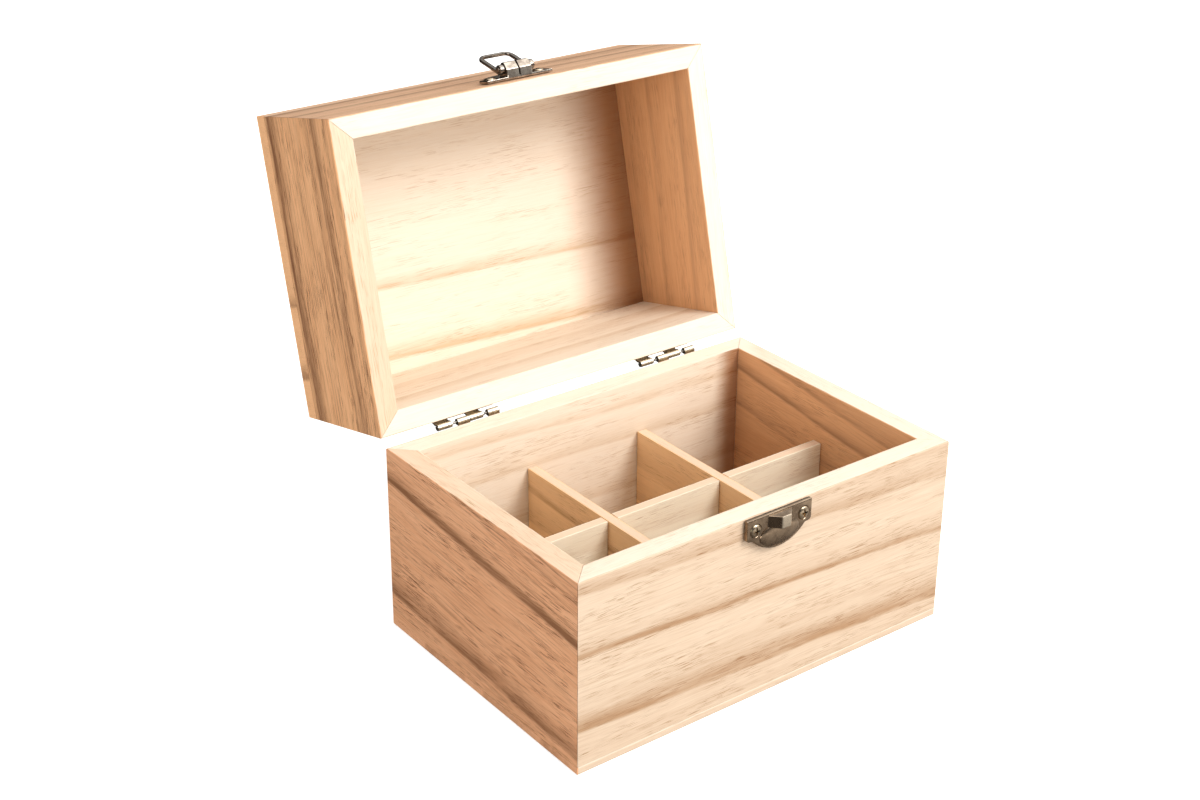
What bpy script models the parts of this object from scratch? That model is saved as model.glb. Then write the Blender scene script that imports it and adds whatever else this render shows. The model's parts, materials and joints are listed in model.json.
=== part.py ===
# Small lidded wooden box with six compartments for art supplies.
#
# A mitred box on a thin bottom panel, a lid made as a second, shallower mitred
# box, an egg-crate of three thin dividers, two rolled hinges on the back and a
# swinging-ring clasp on the front.  The lid stands open on its hinges.
#
# Frame: +X along the length (right), +Y towards the back, +Z up.  The origin
# is the centre of the underside of the bottom panel.  Metres.

import math

import bmesh
import bpy
from mathutils import Matrix, Vector

MM = 0.001

# ---------------------------------------------------------------- dimensions
LENGTH = 175.0 * MM          # outside, along X
DEPTH = 121.0 * MM           # outside, along Y
BOX_HEIGHT = 77.0 * MM       # underside of the bottom panel to the rim
WALL = 9.0 * MM              # thickness of every wall board
BOTTOM = 3.2 * MM            # bottom panel, under the walls
LID_HEIGHT = 58.0 * MM       # rim to the outer face of the top panel
LID_TOP = 6.5 * MM           # top panel, over the lid's walls
GLUE = 0.12 * MM             # glue line between boards
RIM_GAP = 0.4 * MM           # between the two rims when the lid is shut
ROUND = 0.45 * MM            # sanded edges

DIVIDER = 4.2 * MM           # thickness of a divider
DIVIDER_TOP = 54.2 * MM      # height of the dividers' top edges
CROSS_X = 27.2 * MM          # the two cross dividers are at +/- this
LONG_Y = 1.0 * MM            # the long divider, a little behind the middle
SLOT_PLAY = 0.3 * MM         # play of a divider in the other's slot

OPEN_ANGLE = math.radians(103.3)   # how far the lid stands open

# hinges
HINGE_X = 49.2 * MM          # centres at +/- this
HINGE_LENGTH = 28.0 * MM
HINGE_OUT = 2.4 * MM         # axis behind the back's outer face
HINGE_LEAF = 9.6 * MM        # axis to the far edge of a leaf
HINGE_CRANK = (1.7 * MM, 3.1 * MM)   # where a leaf is set back to lie on the wood
HINGE_SHEET = 0.7 * MM
KNUCKLE_R = 1.3 * MM
HINGE_PIN_R = 0.5 * MM
HINGE_OFF = 0.3 * MM         # leaf to wood
# the four rolled knuckles, measured from the left end of the barrel
KNUCKLES_LID = ((0.0, 6.3 * MM), (14.5 * MM, 20.5 * MM))
KNUCKLES_BOX = ((8.9 * MM, 14.3 * MM), (22.9 * MM, 28.0 * MM))
HINGE_SCREW_X = 8.2 * MM
HINGE_SCREW_Z = 5.9 * MM

# clasp
CLASP_X = -0.1 * MM          # catch plate's middle
HASP_X = 0.4 * MM            # hasp plate's middle
CATCH = 1.9 * MM             # thickness of the catch plate
HASP = 1.2 * MM              # thickness of the hasp plate
PLATE_OFF = 0.3 * MM         # plate to wood
PLATE_HALF = 15.3 * MM       # half width over the ears
EAR_IN = 12.3 * MM           # half width where the ears stop
CATCH_EAR = 8.6 * MM         # height of the ears
HASP_EAR = 6.6 * MM
EAR_DIP = 0.35 * MM          # an ear's lower edge falls this much towards the belly
BELLY = 14.6 * MM            # whole height of a plate
PLATE_DROP = 0.0 * MM        # catch plate's top edge below the rim
CLASP_SCREW_X = 11.3 * MM
CATCH_SCREW_Z = 4.7 * MM
HASP_SCREW_Z = 4.6 * MM
KNOB_HALF = 5.8 * MM
KNOB_FACE = 2.0 * MM
KNOB_OUT = 3.8 * MM
KNOB_TOP = 0.5 * MM          # knob below the plate's top edge
KNOB_H = 4.9 * MM
PIVOT_UP = 7.6 * MM          # ring pivot above the lid's rim
PIVOT_OUT = 4.5 * MM         # ring pivot in front of the lid's wall
LUG_R = 2.8 * MM             # half height of a lug
LUG_OUT = 2.6 * MM           # how far a lug stands in front of the pivot
LUG_FLAT = 0.9 * MM          # half height of its front facet
LUG_W = 5.6 * MM
LUG_SPLIT = 0.5 * MM
EYE_R = 1.95 * MM
EYE_W = 1.9 * MM
EYE_PLAY = 0.2 * MM
RING_PIN_R = 1.05 * MM
RING_BORE_R = 1.15 * MM
RING_IN = 14.4 * MM          # pivot to the inside of the ring's end
RING_OUT = 15.7 * MM         # pivot to the outside of the ring's end
RING_T = 1.4 * MM
RING_ARM = 1.8 * MM
RING_REST = math.radians(158.0)    # how far the ring is thrown back from shut

HINGE_Y = DEPTH / 2 + HINGE_OUT
HINGE_Z = BOX_HEIGHT + RIM_GAP / 2
LID_RIM = BOX_HEIGHT + RIM_GAP


# ------------------------------------------------------------------- helpers
for _o in list(bpy.data.objects):
    bpy.data.objects.remove(_o, do_unlink=True)

PARTS = bpy.data.collections.new("art_supply_box")
CUTTERS = bpy.data.collections.new("cutters")
bpy.context.scene.collection.children.link(PARTS)
bpy.context.scene.collection.children.link(CUTTERS)


def material(name, colour, rough, metal):
    m = bpy.data.materials.new(name)
    m.use_nodes = True
    b = m.node_tree.nodes["Principled BSDF"]
    b.inputs["Base Color"].default_value = (*colour, 1.0)
    b.inputs["Roughness"].default_value = rough
    b.inputs["Metallic"].default_value = metal
    return m


def wood(name, colour):
    return material(name, colour, 0.62, 0.0)


def obj(name, mesh, mat=None, coll=PARTS, parent=None, loc=(0, 0, 0), rot=(0, 0, 0)):
    o = bpy.data.objects.new(name, mesh)
    coll.objects.link(o)
    o.parent = parent
    o.location = loc
    o.rotation_euler = rot
    if mat is not None:
        if len(mesh.materials) == 0:
            mesh.materials.append(mat)
        o.material_slots[0].link = 'OBJECT'
        o.material_slots[0].material = mat
    return o


def cutter(name, mesh, parent=None, loc=(0, 0, 0), rot=(0, 0, 0)):
    o = obj(name, mesh, None, CUTTERS, parent, loc, rot)
    o.hide_render = True
    o.display_type = 'WIRE'
    return o


def boolean(o, cut, op='DIFFERENCE'):
    m = o.modifiers.new(cut.name, 'BOOLEAN')
    m.operation = op
    m.solver = 'EXACT'
    m.object = cut
    return m


def box_mesh(name, lo, hi):
    bm = bmesh.new()
    bmesh.ops.create_cube(bm, size=1.0)
    lo, hi = Vector(lo), Vector(hi)
    for v in bm.verts:
        v.co = Vector([(lo[i] + hi[i]) / 2 + v.co[i] * (hi[i] - lo[i]) for i in range(3)])
    me = bpy.data.meshes.new(name)
    bm.to_mesh(me)
    bm.free()
    return me


def rod_mesh(name, r1, r2, z1, z2, sides=20, axis='Z'):
    """A round rod or cone frustum from z1 (radius r1) to z2 (radius r2)."""
    bm = bmesh.new()
    bmesh.ops.create_cone(bm, cap_ends=True, cap_tris=False, segments=sides,
                          radius1=r1, radius2=r2, depth=z2 - z1)
    bmesh.ops.translate(bm, verts=bm.verts, vec=(0, 0, (z1 + z2) / 2))
    if axis == 'X':
        bmesh.ops.rotate(bm, verts=bm.verts, matrix=Matrix.Rotation(math.pi / 2, 3, 'Y'))
    elif axis == 'Y':
        bmesh.ops.rotate(bm, verts=bm.verts, matrix=Matrix.Rotation(-math.pi / 2, 3, 'X'))
    me = bpy.data.meshes.new(name)
    bm.to_mesh(me)
    bm.free()
    return me


def smooth(me, angle=35.0):
    me.shade_smooth()
    me.set_sharp_from_angle(angle=math.radians(angle))
    return me


def outline_mesh(name, points, thickness, turn=None):
    """A flat outline in the curve's own XY plane, made into a closed solid of the
    given thickness about that plane, then turned by a 3x3 matrix."""
    cu = bpy.data.curves.new(name, 'CURVE')
    cu.dimensions = '2D'
    cu.fill_mode = 'BOTH'
    cu.extrude = thickness / 2
    sp = cu.splines.new('POLY')
    sp.points.add(len(points) - 1)
    for p, (x, y) in zip(sp.points, points):
        p.co = (x, y, 0, 1)
    sp.use_cyclic_u = True
    tmp = bpy.data.objects.new(name + "_curve", cu)
    CUTTERS.objects.link(tmp)
    dg = bpy.context.evaluated_depsgraph_get()
    dg.update()
    me = bpy.data.meshes.new_from_object(tmp.evaluated_get(dg))
    me.name = name
    bm = bmesh.new()
    bm.from_mesh(me)
    bmesh.ops.remove_doubles(bm, verts=bm.verts, dist=1e-6)
    bmesh.ops.dissolve_limit(bm, angle_limit=math.radians(0.2), verts=bm.verts,
                             edges=bm.edges)
    if turn is not None:
        bmesh.ops.transform(bm, matrix=turn.to_4x4(), verts=bm.verts)
    bmesh.ops.recalc_face_normals(bm, faces=bm.faces)
    bm.to_mesh(me)
    bm.free()
    bpy.data.objects.remove(tmp, do_unlink=True)
    bpy.data.curves.remove(cu)
    return me


def bake(template, name, drop=()):
    """The mesh that an object shows with its modifiers, so that copies can share it."""
    dg = bpy.context.evaluated_depsgraph_get()
    dg.update()
    me = bpy.data.meshes.new_from_object(template.evaluated_get(dg))
    me.name = name
    bpy.data.objects.remove(template, do_unlink=True)
    for c in drop:
        bpy.data.objects.remove(c, do_unlink=True)
    return me


def bevel(o, width, segments=2, method='ANGLE', angle=40.0):
    m = o.modifiers.new("Bevel", 'BEVEL')
    m.width = width
    m.segments = segments
    m.limit_method = method
    if method == 'ANGLE':
        m.angle_limit = math.radians(angle)
    return m


# ----------------------------------------------------------------- materials
WOOD_SHELL = wood("paulownia_outside", (0.80, 0.60, 0.42))
WOOD_LID = wood("paulownia_lid", (0.82, 0.63, 0.45))
WOOD_PANEL = wood("paulownia_panel", (0.86, 0.70, 0.52))
WOOD_DIVIDER = wood("divider_board", (0.84, 0.66, 0.46))
HINGE_METAL = material("hinge_metal", (0.66, 0.60, 0.48), 0.35, 1.0)
BRONZE = material("antique_bronze", (0.20, 0.16, 0.11), 0.42, 1.0)
SCREW_METAL = material("screw_metal", (0.42, 0.34, 0.25), 0.38, 1.0)
RING_METAL = material("ring_metal", (0.22, 0.19, 0.17), 0.36, 1.0)


# -------------------------------------------------------------------- boards
def wall_mesh(name, length, height, rounded):
    """A board along X, outer face at y = -WALL/2, inner face at +WALL/2, its ends
    mitred at 45 degrees and drawn back by half a glue line.  rounded names the
    long edges that are sanded round: 'top' or 'bottom' pairs."""
    draw = GLUE / 2 * math.sqrt(2)
    bm = bmesh.new()
    bmesh.ops.create_cube(bm, size=1.0)
    for v in bm.verts:
        inner = v.co.y > 0
        half = length / 2 - draw - (WALL if inner else 0.0)
        v.co = Vector((math.copysign(half, v.co.x),
                       math.copysign(WALL / 2, v.co.y),
                       math.copysign(height / 2, v.co.z)))
    wt = bm.edges.layers.float.new('bevel_weight_edge')
    for e in bm.edges:
        a, b = e.verts[0].co, e.verts[1].co
        along = abs(a.x - b.x) > length / 3
        top = a.z > 0 and b.z > 0
        if along and ((rounded == 'top') == top):
            e[wt] = 1.0
    me = bpy.data.meshes.new(name)
    bm.to_mesh(me)
    bm.free()
    return me


def board_edges(o):
    bevel(o, ROUND, 2, 'WEIGHT')


lid_axis = bpy.data.objects.new("lid_axis", None)
PARTS.objects.link(lid_axis)
lid_axis.location = (0, HINGE_Y, HINGE_Z)
lid_axis.rotation_euler = (-OPEN_ANGLE, 0, 0)


def on_lid(x, y, z):
    """A place given with the lid shut, as a location under lid_axis."""
    return (x, y - HINGE_Y, z - HINGE_Z)


WH = BOX_HEIGHT - BOTTOM - GLUE
WZ = BOTTOM + GLUE + WH / 2
LW = LID_HEIGHT - LID_TOP - GLUE
LZ = LID_RIM + LW / 2
YW = DEPTH / 2 - WALL / 2
XW = LENGTH / 2 - WALL / 2
HALF_TURN = math.pi

box_front = obj("box_front", wall_mesh("box_front", LENGTH, WH, 'top'), WOOD_SHELL,
                loc=(0, -YW, WZ))
box_back = obj("box_back", wall_mesh("box_back", LENGTH, WH, 'top'), WOOD_SHELL,
               loc=(0, YW, WZ), rot=(0, 0, HALF_TURN))
box_left = obj("box_left", wall_mesh("box_left", DEPTH, WH, 'top'), WOOD_SHELL,
               loc=(-XW, 0, WZ), rot=(0, 0, -HALF_TURN / 2))
box_right = obj("box_right", wall_mesh("box_right", DEPTH, WH, 'top'), WOOD_SHELL,
                loc=(XW, 0, WZ), rot=(0, 0, HALF_TURN / 2))
lid_front = obj("lid_front", wall_mesh("lid_front", LENGTH, LW, 'bottom'), WOOD_LID,
                parent=lid_axis, loc=on_lid(0, -YW, LZ))
lid_back = obj("lid_back", wall_mesh("lid_back", LENGTH, LW, 'bottom'), WOOD_LID,
               parent=lid_axis, loc=on_lid(0, YW, LZ), rot=(0, 0, HALF_TURN))
lid_left = obj("lid_left", wall_mesh("lid_left", DEPTH, LW, 'bottom'), WOOD_LID,
               parent=lid_axis, loc=on_lid(-XW, 0, LZ), rot=(0, 0, -HALF_TURN / 2))
lid_right = obj("lid_right", wall_mesh("lid_right", DEPTH, LW, 'bottom'), WOOD_LID,
                parent=lid_axis, loc=on_lid(XW, 0, LZ), rot=(0, 0, HALF_TURN / 2))
for w in (box_front, box_back, box_left, box_right,
          lid_front, lid_back, lid_left, lid_right):
    board_edges(w)


def panel_mesh(name, thick, outer):
    """A flat panel about its own centre; the edges round the outer face are sanded."""
    bm = bmesh.new()
    bmesh.ops.create_cube(bm, size=1.0)
    for v in bm.verts:
        v.co = Vector((math.copysign(LENGTH / 2, v.co.x), math.copysign(DEPTH / 2, v.co.y),
                       math.copysign(thick / 2, v.co.z)))
    wt = bm.edges.layers.float.new('bevel_weight_edge')
    for e in bm.edges:
        if all((v.co.z > 0) == (outer > 0) for v in e.verts):
            e[wt] = 1.0
    me = bpy.data.meshes.new(name)
    bm.to_mesh(me)
    bm.free()
    return me


box_bottom = obj("box_bottom", panel_mesh("box_bottom", BOTTOM, -1), WOOD_PANEL,
                 loc=(0, 0, BOTTOM / 2))
lid_top = obj("lid_top", panel_mesh("lid_top", LID_TOP, 1), WOOD_LID, parent=lid_axis,
              loc=on_lid(0, 0, LID_RIM + LID_HEIGHT - LID_TOP / 2))
board_edges(box_bottom)
board_edges(lid_top)


# ------------------------------------------------------------------ dividers
FIT = 0.3 * MM
FLOOR = BOTTOM + FIT
MID = (FLOOR + DIVIDER_TOP) / 2
IN_X = LENGTH / 2 - WALL - FIT
IN_Y = DEPTH / 2 - WALL - FIT
SLOT = DIVIDER / 2 + SLOT_PLAY

long_divider = obj("long_divider",
                   box_mesh("long_divider", (-IN_X, -DIVIDER / 2, 0),
                            (IN_X, DIVIDER / 2, DIVIDER_TOP - FLOOR)),
                   WOOD_DIVIDER, loc=(0, LONG_Y, FLOOR))
for side, sx in (("left", -1), ("right", 1)):
    cut = cutter("cut_long_slot_" + side,
                 box_mesh("cut_long_slot_" + side, (-SLOT, -0.01, 0), (SLOT, 0.01, 0.06)),
                 loc=(sx * CROSS_X, LONG_Y, MID - SLOT_PLAY / 2))
    boolean(long_divider, cut)
    cross = obj("cross_divider_" + side,
                box_mesh("cross_divider_" + side, (-DIVIDER / 2, -IN_Y, 0),
                         (DIVIDER / 2, IN_Y, DIVIDER_TOP - FLOOR)),
                WOOD_DIVIDER, loc=(sx * CROSS_X, 0, FLOOR))
    cut = cutter("cut_cross_slot_" + side,
                 box_mesh("cut_cross_slot_" + side, (-0.01, -SLOT, -0.06), (0.01, SLOT, 0)),
                 loc=(sx * CROSS_X, LONG_Y, MID + SLOT_PLAY / 2))
    boolean(cross, cut)


# -------------------------------------------------------------------- screws
def screw_mesh(name, head_r, dome, cone, shank_r, length, recess, recess_w, recess_d):
    """A raised countersunk wood screw about Z, its head's rim at z = 0, pointing
    down.  A turned profile with a cross recess cut in its head."""
    prof = [(0.0, dome)]
    for k in range(1, 5):
        a = k / 4 * math.pi / 2
        prof.append((head_r * math.sin(a), dome * math.cos(a)))
    prof += [(head_r, -0.12 * MM), (shank_r, -cone), (shank_r * 0.92, -length * 0.78),
             (0.0, -length)]
    me = bpy.data.meshes.new(name + "_profile")
    bm = bmesh.new()
    vs = [bm.verts.new((r, 0, z)) for r, z in prof]
    for a, b in zip(vs[:-1], vs[1:]):
        bm.edges.new((a, b))
    bm.to_mesh(me)
    bm.free()
    t = obj(name + "_template", me)
    s = t.modifiers.new("Turn", 'SCREW')
    s.steps = 24
    s.render_steps = 24
    s.angle = 2 * math.pi
    s.screw_offset = 0.0
    s.use_merge_vertices = True
    s.merge_threshold = 0.00001
    cuts = []
    for i, (wx, wy) in enumerate(((recess, recess_w), (recess_w, recess))):
        c = cutter(name + "_recess_%d" % i,
                   box_mesh(name + "_recess_%d" % i, (-wx, -wy, dome - recess_d),
                            (wx, wy, dome + MM)))
        boolean(t, c)
        cuts.append(c)
    me = bake(t, name, cuts)
    return smooth(me)


CLASP_SCREW = screw_mesh("clasp_screw_mesh", 2.5 * MM, 0.75 * MM, 1.35 * MM, 1.25 * MM,
                         8.0 * MM, 1.5 * MM, 0.40 * MM, 1.2 * MM)
SMALL_SCREW = screw_mesh("small_screw_mesh", 1.75 * MM, 0.35 * MM, 0.95 * MM, 0.85 * MM,
                         7.4 * MM, 0.95 * MM, 0.24 * MM, 0.7 * MM)
# a screw about Z turned so that its head faces the front (-Y) or the back (+Y)
FACE_FRONT = (math.pi / 2, 0, 0)
FACE_BACK = (-math.pi / 2, 0, 0)


def pilot(name, wall, radius, depth, x, z, front, parent=None, place=lambda x, y, z: (x, y, z)):
    """A blind hole in a wall, from just outside its outer face."""
    y = -DEPTH / 2 if front else DEPTH / 2
    s = 1 if front else -1
    lo, hi = (-0.002, depth) if front else (-depth, 0.002)
    c = cutter(name, rod_mesh(name, radius, radius, lo, hi, 16, 'Y'), parent, place(x, y, z))
    boolean(wall, c)


# -------------------------------------------------------------------- hinges
LEAF_BACK = HINGE_OFF - HINGE_OUT     # the leaf's wood side, from the axis


def leaf_profile():
    """The rolled strip seen from the end, its axis at the origin.  The leaf hangs
    down its inner side (towards -Y), cranked back to the wood: (y, z) pairs."""
    r_out, r_in = KNUCKLE_R, KNUCKLE_R - HINGE_SHEET
    first, last, n = 180.0, -105.0, 19
    high, low = HINGE_CRANK
    ang = [math.radians(first + (last - first) * i / n) for i in range(n + 1)]
    pts = [(LEAF_BACK, -HINGE_LEAF), (LEAF_BACK, -low), (-r_out, -high)]
    pts += [(r_out * math.cos(a), r_out * math.sin(a)) for a in ang]
    pts += [(r_in * math.cos(a), r_in * math.sin(a)) for a in reversed(ang)]
    pts += [(-r_in, -high), (LEAF_BACK + HINGE_SHEET, -low),
            (LEAF_BACK + HINGE_SHEET, -HINGE_LEAF)]
    return pts


# curve plane (x, y) -> (Y, Z), its thickness along X
TO_YZ = Matrix(((0, 0, 1), (1, 0, 0), (0, 1, 0)))


def leaf_mesh(name, keep):
    """One leaf with its two knuckles, about the barrel's middle.  The strip is cut
    away where the other leaf's knuckles turn."""
    t = obj(name + "_template", outline_mesh(name + "_strip", leaf_profile(), HINGE_LENGTH, TO_YZ))
    cuts = []
    edges = [-MM] + [e for k in keep for e in k] + [HINGE_LENGTH + MM]
    for i in range(0, len(edges), 2):
        a, b = edges[i] - HINGE_LENGTH / 2, edges[i + 1] - HINGE_LENGTH / 2
        if a <= -HINGE_LENGTH / 2 and keep[0][0] == 0.0:
            continue
        if b >= HINGE_LENGTH / 2 and keep[-1][1] == HINGE_LENGTH:
            continue
        c = cutter(name + "_gap_%d" % i, box_mesh(name + "_gap_%d" % i,
                   (a, -3 * MM, -HINGE_CRANK[1] - 0.1 * MM), (b, 3 * MM, 3 * MM)))
        boolean(t, c)
        cuts.append(c)
    for i, sx in enumerate((-1, 1)):
        # countersunk hole, wide on the outer (+Y) side
        r_far = 2.0 * MM
        c = cutter(name + "_sink_%d" % i,
                   rod_mesh(name + "_sink_%d" % i, 1.06 * MM, r_far + 0.35 * MM,
                            LEAF_BACK - 0.15 * MM, LEAF_BACK + HINGE_SHEET + 0.35 * MM, 20, 'Y'),
                   loc=(sx * HINGE_SCREW_X, 0, -HINGE_SCREW_Z))
        boolean(t, c)
        cuts.append(c)
    return smooth(bake(t, name, cuts))


def mirror_z(me, name):
    """The same leaf for the other side of the barrel."""
    out = me.copy()
    out.name = name
    bm = bmesh.new()
    bm.from_mesh(out)
    bmesh.ops.transform(bm, matrix=Matrix.Diagonal((1, 1, -1, 1)), verts=bm.verts)
    bmesh.ops.reverse_faces(bm, faces=bm.faces)
    bm.to_mesh(out)
    bm.free()
    return out


BOX_LEAF = leaf_mesh("box_leaf_mesh", KNUCKLES_BOX)
LID_LEAF = mirror_z(leaf_mesh("lid_leaf_low_mesh", KNUCKLES_LID), "lid_leaf_mesh")
HINGE_PIN = smooth(rod_mesh("hinge_pin_mesh", HINGE_PIN_R, HINGE_PIN_R,
                            -HINGE_LENGTH / 2 + 0.2 * MM, HINGE_LENGTH / 2 - 0.2 * MM, 16, 'X'))
SCREW_Y = DEPTH / 2 + HINGE_OFF + HINGE_SHEET + 0.05 * MM

for side, sx in (("left", -1), ("right", 1)):
    hx = sx * HINGE_X
    obj("hinge_%s_box_leaf" % side, BOX_LEAF, HINGE_METAL, loc=(hx, HINGE_Y, HINGE_Z))
    obj("hinge_%s_pin" % side, HINGE_PIN, HINGE_METAL, loc=(hx, HINGE_Y, HINGE_Z))
    obj("hinge_%s_lid_leaf" % side, LID_LEAF, HINGE_METAL, parent=lid_axis, loc=(hx, 0, 0))
    for i, ox in ((1, -HINGE_SCREW_X), (2, HINGE_SCREW_X)):
        zb, zl = HINGE_Z - HINGE_SCREW_Z, HINGE_Z + HINGE_SCREW_Z
        obj("hinge_%s_box_screw_%d" % (side, i), SMALL_SCREW, SCREW_METAL,
            loc=(hx + ox, SCREW_Y, zb), rot=FACE_BACK)
        obj("hinge_%s_lid_screw_%d" % (side, i), SMALL_SCREW, SCREW_METAL, parent=lid_axis,
            loc=on_lid(hx + ox, SCREW_Y, zl), rot=FACE_BACK)
        pilot("cut_hinge_%s_box_%d" % (side, i), box_back, 1.15 * MM, 7.2 * MM,
              hx + ox, zb, False)
        pilot("cut_hinge_%s_lid_%d" % (side, i), lid_back, 1.15 * MM, 7.2 * MM,
              hx + ox, zl, False, lid_axis, on_lid)


# --------------------------------------------------------------------- clasp
def plate_outline(down, ear):
    """Ears with a straight edge between them and a belly that is an arc of a
    circle; (x, z) pairs from the straight edge, the belly towards -Z (down) or +Z."""
    start = ear + EAR_DIP
    sag = BELLY - start
    arc = (EAR_IN ** 2 + sag ** 2) / (2 * sag)
    pts = [(-PLATE_HALF, 0.0), (-PLATE_HALF, -ear + 0.8 * MM),
           (-PLATE_HALF + 0.8 * MM, -ear), (-EAR_IN, -start)]
    n = 22
    for i in range(1, n):
        x = EAR_IN * (2 * i / n - 1)
        pts.append((x, -start - math.sqrt(arc ** 2 - x ** 2) + arc - sag))
    pts += [(EAR_IN, -start), (PLATE_HALF - 0.8 * MM, -ear),
            (PLATE_HALF, -ear + 0.8 * MM), (PLATE_HALF, 0.0)]
    s = 1 if down else -1
    return [(x, s * z) for x, z in pts]


# curve plane (x, y) -> (X, Z), its thickness along Y
TO_XZ = Matrix(((1, 0, 0), (0, 0, -1), (0, 1, 0)))
CATCH_Y = -DEPTH / 2 - PLATE_OFF - CATCH / 2
HASP_Y = -DEPTH / 2 - PLATE_OFF - HASP / 2


def clasp_plate(name, down, ear, thick, edge, parent, loc):
    o = obj(name, outline_mesh(name, plate_outline(down, ear), thick, TO_XZ), BRONZE,
            parent=parent, loc=loc)
    bevel(o, edge, 2, 'ANGLE', 50.0)
    return o


def sinks(o, name, thick, zz, parent, loc):
    """Two countersunk holes through a clasp plate, wide at the front: a turned
    funnel of one piece, so that each hole is a single cut."""
    deep = min(1.4 * MM, thick)
    ring = [(2.95 * MM, -thick / 2 - 0.2 * MM), (1.5 * MM, -thick / 2 + deep),
            (1.5 * MM, thick / 2 + 0.3 * MM)]
    for side, sx in (("left", -1), ("right", 1)):
        bm = bmesh.new()
        loops = [[bm.verts.new((r * math.cos(a), y, r * math.sin(a)))
                  for a in [2 * math.pi * (i + 0.5) / 24 for i in range(24)]]
                 for r, y in ring]
        for lo, hi in zip(loops[:-1], loops[1:]):
            for i in range(24):
                j = (i + 1) % 24
                bm.faces.new((lo[i], lo[j], hi[j], hi[i]))
        bm.faces.new(loops[0])
        bm.faces.new(loops[-1])
        bmesh.ops.recalc_face_normals(bm, faces=bm.faces)
        me = bpy.data.meshes.new("cut_%s_sink_%s" % (name, side))
        bm.to_mesh(me)
        bm.free()
        c = cutter("cut_%s_sink_%s" % (name, side), me, parent,
                   (loc[0] + sx * CLASP_SCREW_X, loc[1], loc[2] + zz))
        boolean(o, c)


# catch plate on the box: straight edge up, with a domed belly and a faceted knob
catch_loc = (CLASP_X, CATCH_Y, BOX_HEIGHT - PLATE_DROP)
catch_plate = clasp_plate("catch_plate", True, CATCH_EAR, CATCH, 0.45 * MM, None, catch_loc)

def dome_mesh(name, rx, rz, rise, sink, sides=32, rings=6):
    """A low elliptic dome that rises towards -Y from a flat base sunk by `sink`."""
    bm = bmesh.new()
    loops = []
    for k in range(rings + 1):
        a = math.pi / 2 * k / (rings + 1)
        y = sink if k == 0 else -rise * math.sin(a)
        loops.append([bm.verts.new((rx * math.cos(a) * math.cos(t), y,
                                    rz * math.cos(a) * math.sin(t)))
                      for t in [2 * math.pi * (i + 0.3) / sides for i in range(sides)]])
    top = bm.verts.new((0, -rise, 0))
    for lo, hi in zip(loops[:-1], loops[1:]):
        for i in range(sides):
            j = (i + 1) % sides
            bm.faces.new((lo[i], lo[j], hi[j], hi[i]))
    for i in range(sides):
        bm.faces.new((loops[-1][i], loops[-1][(i + 1) % sides], top))
    bm.faces.new(loops[0])
    bmesh.ops.recalc_face_normals(bm, faces=bm.faces)
    me = bpy.data.meshes.new(name)
    bm.to_mesh(me)
    bm.free()
    return me


dome = cutter("join_catch_dome", dome_mesh("catch_dome", 9.4 * MM, 5.0 * MM, 1.3 * MM, 0.5 * MM),
              None, (CLASP_X, CATCH_Y - CATCH / 2, catch_loc[2] - 8.9 * MM))
boolean(catch_plate, dome, 'UNION')

knob_pts = [(-KNOB_HALF, 0.9 * MM), (-KNOB_HALF, 0.0), (-KNOB_FACE, -KNOB_OUT),
            (KNOB_FACE, -KNOB_OUT), (KNOB_HALF, 0.0), (KNOB_HALF, 0.9 * MM)]
knob_me = outline_mesh("catch_knob", knob_pts, KNOB_H)
knob = cutter("join_catch_knob", knob_me, None,
              (CLASP_X, CATCH_Y - CATCH / 2,
               BOX_HEIGHT - PLATE_DROP - KNOB_TOP - KNOB_H / 2))
bevel(knob, 0.45 * MM, 2, 'ANGLE', 30.0)
boolean(catch_plate, knob, 'UNION')
sinks(catch_plate, "catch", CATCH, -CATCH_SCREW_Z, None, catch_loc)

for side, sx in (("left", -1), ("right", 1)):
    x, z = CLASP_X + sx * CLASP_SCREW_X, catch_loc[2] - CATCH_SCREW_Z
    obj("catch_screw_" + side, CLASP_SCREW, SCREW_METAL,
        loc=(x, CATCH_Y - CATCH / 2, z), rot=FACE_FRONT)
    pilot("cut_catch_pilot_" + side, box_front, 1.6 * MM, 7.4 * MM, x, z, True)

# hasp plate on the lid: a thinner plate, belly up, with two lugs for the ring
PIVOT_Z = LID_RIM + PIVOT_UP
PIVOT_Y = -DEPTH / 2 - PIVOT_OUT
hasp_loc = (HASP_X, HASP_Y, PIVOT_Z - LUG_R)
hasp_plate = clasp_plate("hasp_plate", False, HASP_EAR, HASP, 0.25 * MM, lid_axis,
                         on_lid(*hasp_loc))
# (z, y) seen from the end: a six-sided block, back to the plate
back = PIVOT_OUT - PLATE_OFF - HASP / 2
lug_side = [(-LUG_R, back), (-LUG_R, 0.0), (-LUG_FLAT, -LUG_OUT), (LUG_FLAT, -LUG_OUT),
            (LUG_R, 0.0), (LUG_R, back)]
TO_ZY = Matrix(((0, 0, 1), (0, 1, 0), (1, 0, 0)))
for side, sx in (("left", -1), ("right", 1)):
    lug = cutter("join_hasp_lug_" + side,
                 outline_mesh("hasp_lug_" + side, lug_side, LUG_W, TO_ZY), lid_axis,
                 on_lid(HASP_X + sx * (LUG_W + LUG_SPLIT) / 2, PIVOT_Y, PIVOT_Z))
    bevel(lug, 0.35 * MM, 2, 'ANGLE', 35.0)
    boolean(hasp_plate, lug, 'UNION')
bore = cutter("cut_hasp_bore", rod_mesh("cut_hasp_bore", RING_BORE_R, RING_BORE_R,
              -12 * MM, 12 * MM, 20, 'X'), lid_axis, on_lid(HASP_X, PIVOT_Y, PIVOT_Z))
boolean(hasp_plate, bore)
sinks(hasp_plate, "hasp", HASP, HASP_SCREW_Z, lid_axis, on_lid(*hasp_loc))

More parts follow.
